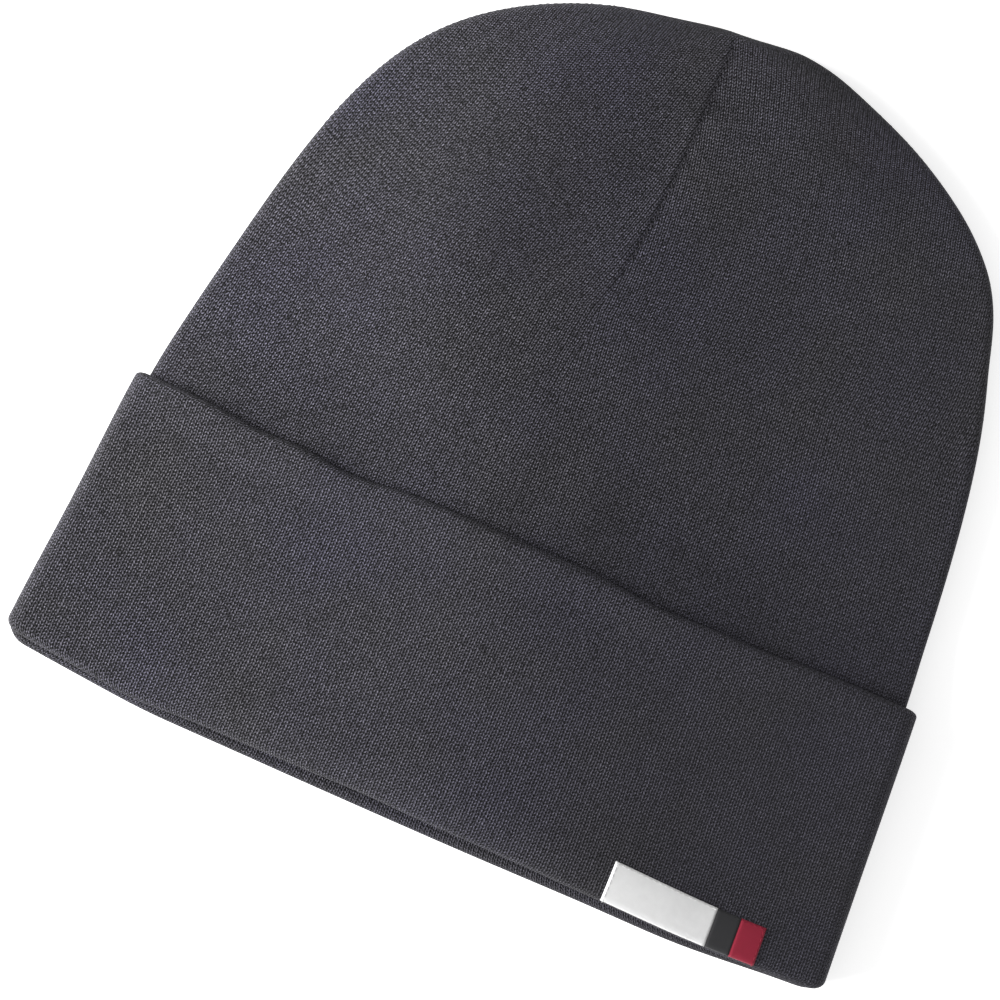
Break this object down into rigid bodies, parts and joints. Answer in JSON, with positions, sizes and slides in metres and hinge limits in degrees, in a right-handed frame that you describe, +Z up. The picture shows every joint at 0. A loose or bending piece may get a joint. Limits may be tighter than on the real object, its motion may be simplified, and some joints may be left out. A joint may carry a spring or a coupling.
{
  "type": "cuffed knit beanie",
  "caption": "Charcoal knit beanie with a turned-up cuff, darted round top and a small bare woven label on the cuff, lying flat on its back.",
  "frame": {"origin": "on the surface that the cap lies on, under the middle of its box", "axes": "+X across the cap, to the label's side; +Y from the rim to the closed top; +Z up, out of the front"},
  "size_m": [0.2282, 0.2209, 0.0304],
  "materials": {
    "knit": "matt fine jersey knit",
    "label_white": "smooth woven tape",
    "label_grey": "smooth woven tape",
    "label_red": "smooth woven tape"
  },
  "bodies": {
    "root": {"crown": "knit", "cuff": "knit", "label_white": "label_white", "label_grey": "label_grey", "label_red": "label_red"}
  },
  "joints": []
}
